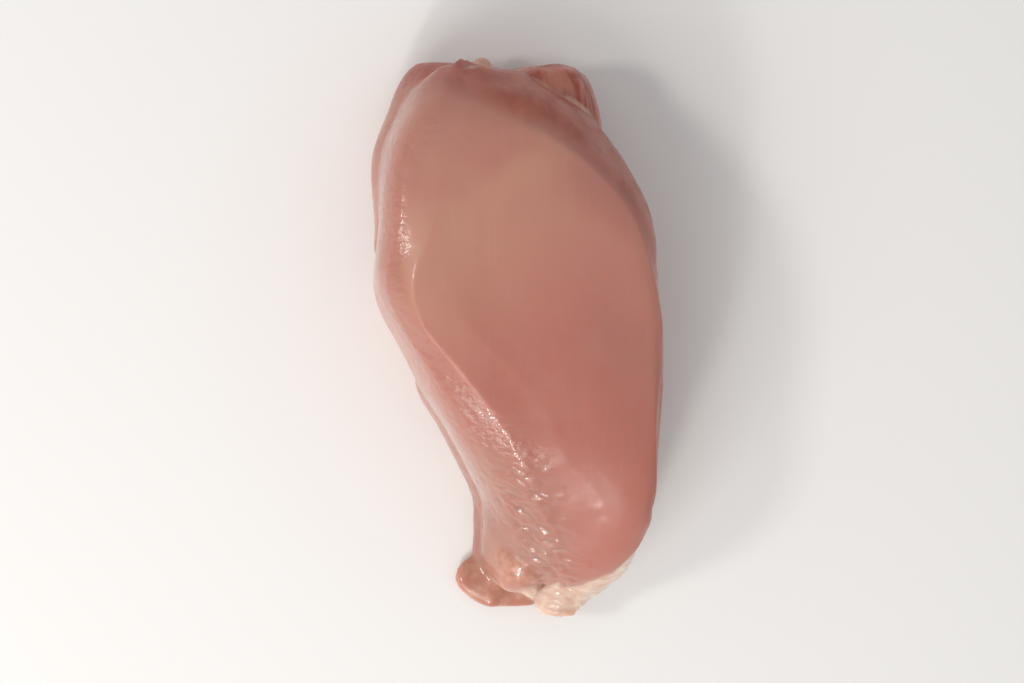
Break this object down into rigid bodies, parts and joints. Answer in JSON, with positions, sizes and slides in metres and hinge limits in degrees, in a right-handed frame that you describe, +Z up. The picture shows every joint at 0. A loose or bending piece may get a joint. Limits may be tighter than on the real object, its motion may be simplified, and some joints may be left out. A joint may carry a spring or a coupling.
{
  "type": "raw chicken thigh",
  "caption": "Raw chicken thigh, boned and skinned, folded into a plump oval with a flattened top, a rolled left side, a ragged knee end and pads of fat.",
  "frame": {"origin": "on the surface that it rests on, under the middle of its box", "axes": "+Y towards the broad hip end, -Y towards the narrow knee end, +X to the side of the sheet's free edge, +Z up through the smooth outer side"},
  "size_m": [0.0502, 0.103, 0.0334],
  "materials": {
    "raw_meat": "wet raw poultry muscle, pale pink and slightly translucent, with cream fat and thin silvery membrane"
  },
  "bodies": {
    "root": {"thigh": "raw_meat"}
  },
  "joints": []
}
